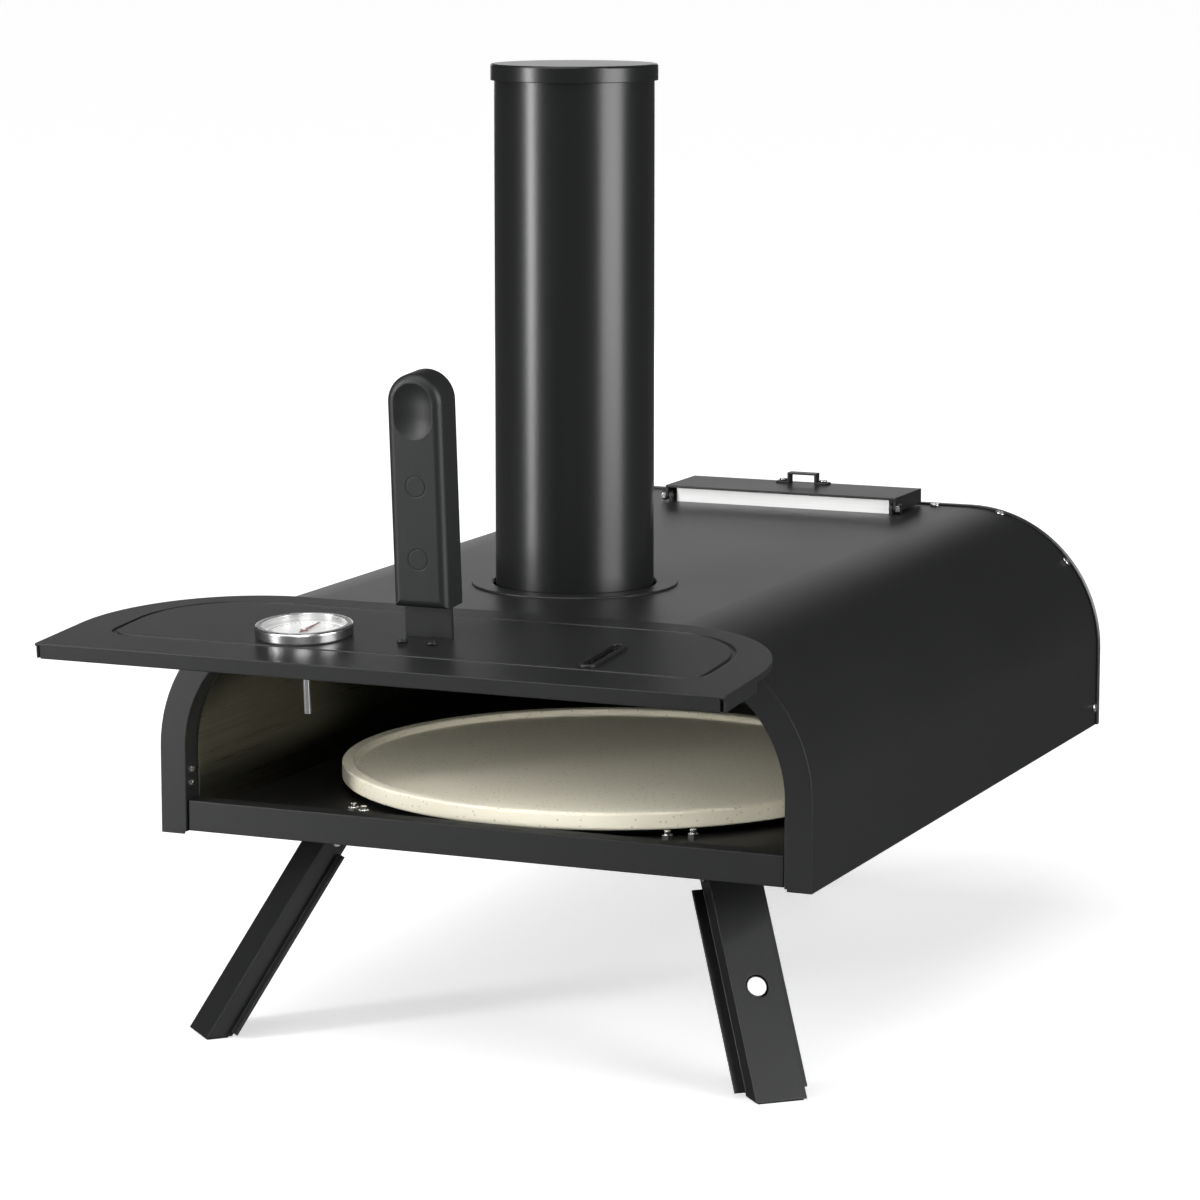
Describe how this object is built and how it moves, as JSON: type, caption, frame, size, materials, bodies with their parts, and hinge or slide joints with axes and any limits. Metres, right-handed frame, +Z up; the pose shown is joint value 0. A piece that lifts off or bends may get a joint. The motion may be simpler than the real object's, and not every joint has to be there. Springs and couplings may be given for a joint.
{
  "type": "portable wood fired pizza oven",
  "caption": "Low arched black steel pizza oven with open drop-back door, round stone, tall chimney, rear fuel lid and folding legs",
  "frame": {"origin": "on the ground, midway between the open door edge and the rear cover, centred across the body", "axes": "+X right seen from the front, +Y to the rear, +Z up"},
  "size_m": [0.404, 0.6644, 0.5587],
  "materials": {
    "black_steel": "satin",
    "steel": "satin",
    "polished_steel": "polished",
    "stone": "matte",
    "glass": "clear",
    "dial": "matte",
    "needle": "matte",
    "grip": "matte",
    "brass": "satin",
    "rubber": "matte"
  },
  "bodies": {
    "oven_body": {"base_pan": "black_steel", "chamber_floor": "black_steel", "chimney_collar": "black_steel", "chimney_pipe": "black_steel", "fire_basket": "steel", "flame_baffle": "black_steel", "floor_studs": "steel", "fuel_neck": "steel", "hinge_brackets": "black_steel", "hinge_pins": "steel", "inner_liner": "steel", "leg_front_left_bracket": "black_steel", "leg_front_left_pin": "steel", "leg_front_right_bracket": "black_steel", "leg_front_right_pin": "steel", "leg_rear_bracket": "black_steel", "leg_rear_pin": "steel", "lid_bolts": "steel", "lid_brackets": "black_steel", "liner_screws": "steel", "outer_shell": "black_steel", "rear_cover": "black_steel", "rear_cover_screws": "steel", "spindle_bush": "brass"},
    "door": {"door_hinge_leaves": "black_steel", "door_panel": "black_steel", "handle_bracket": "steel", "handle_grip": "grip", "handle_screws": "black_steel", "probe_nut": "steel", "thermometer_bezel": "polished_steel", "thermometer_dial": "dial", "thermometer_glass": "glass", "thermometer_probe": "steel", "vent_louvre": "black_steel"},
    "needle": {"thermometer_needle": "needle"},
    "lid": {"fuel_lid": "black_steel", "lid_handle": "black_steel", "lid_handle_screws": "steel"},
    "cap": {"chimney_cap": "black_steel"},
    "turntable": {"turntable": "black_steel", "turntable_spindle": "steel", "pizza_stone": "stone"},
    "front_right_leg": {"leg_front_right": "black_steel", "leg_front_right_foot_pad": "rubber", "leg_magnet": "steel", "magnet_keeper": "black_steel"},
    "front_left_leg": {"leg_front_left": "black_steel", "leg_front_left_foot_pad": "rubber"},
    "rear_leg": {"leg_rear": "black_steel", "leg_rear_foot_pad": "rubber"}
  },
  "joints": [
    {"name": "door_hinge", "type": "hinge", "parent": "oven_body", "child": "door", "pos_m": [0, -0.1941, 0.2557], "axis": [-1, 0, 0], "range_deg": [-86, 0]},
    {"name": "needle_turn", "type": "hinge", "parent": "door", "child": "needle", "pos_m": [-0.068, -0.27224, 0.25898], "axis": [0, -0.0698, 0.9976], "range_deg": [-135, 135]},
    {"name": "lid_hinge", "type": "hinge", "parent": "oven_body", "child": "lid", "pos_m": [0, 0.2755, 0.262], "axis": [1, 0, 0], "range_deg": [0, 95]},
    {"name": "cap_lift", "type": "slide", "parent": "oven_body", "child": "cap", "axis": [0, 0, 1], "range_m": [0, 0.015]},
    {"name": "stone_turn", "type": "hinge", "parent": "oven_body", "child": "turntable", "pos_m": [0, -0.0075, 0.132], "axis": [0, 0, 1], "continuous": true},
    {"name": "front_right_leg_fold", "type": "hinge", "parent": "oven_body", "child": "front_right_leg", "pos_m": [0.12605, -0.1325, 0.11], "axis": [0.7314, 0.682, 0], "range_deg": [0, 124]},
    {"name": "front_left_leg_fold", "type": "hinge", "parent": "oven_body", "child": "front_left_leg", "pos_m": [-0.12605, -0.1325, 0.11], "axis": [0.7314, -0.682, 0], "range_deg": [0, 124]},
    {"name": "rear_leg_fold", "type": "hinge", "parent": "oven_body", "child": "rear_leg", "pos_m": [0, 0.25141, 0.11], "axis": [-1, 0, 0], "range_deg": [0, 114]}
  ]
}
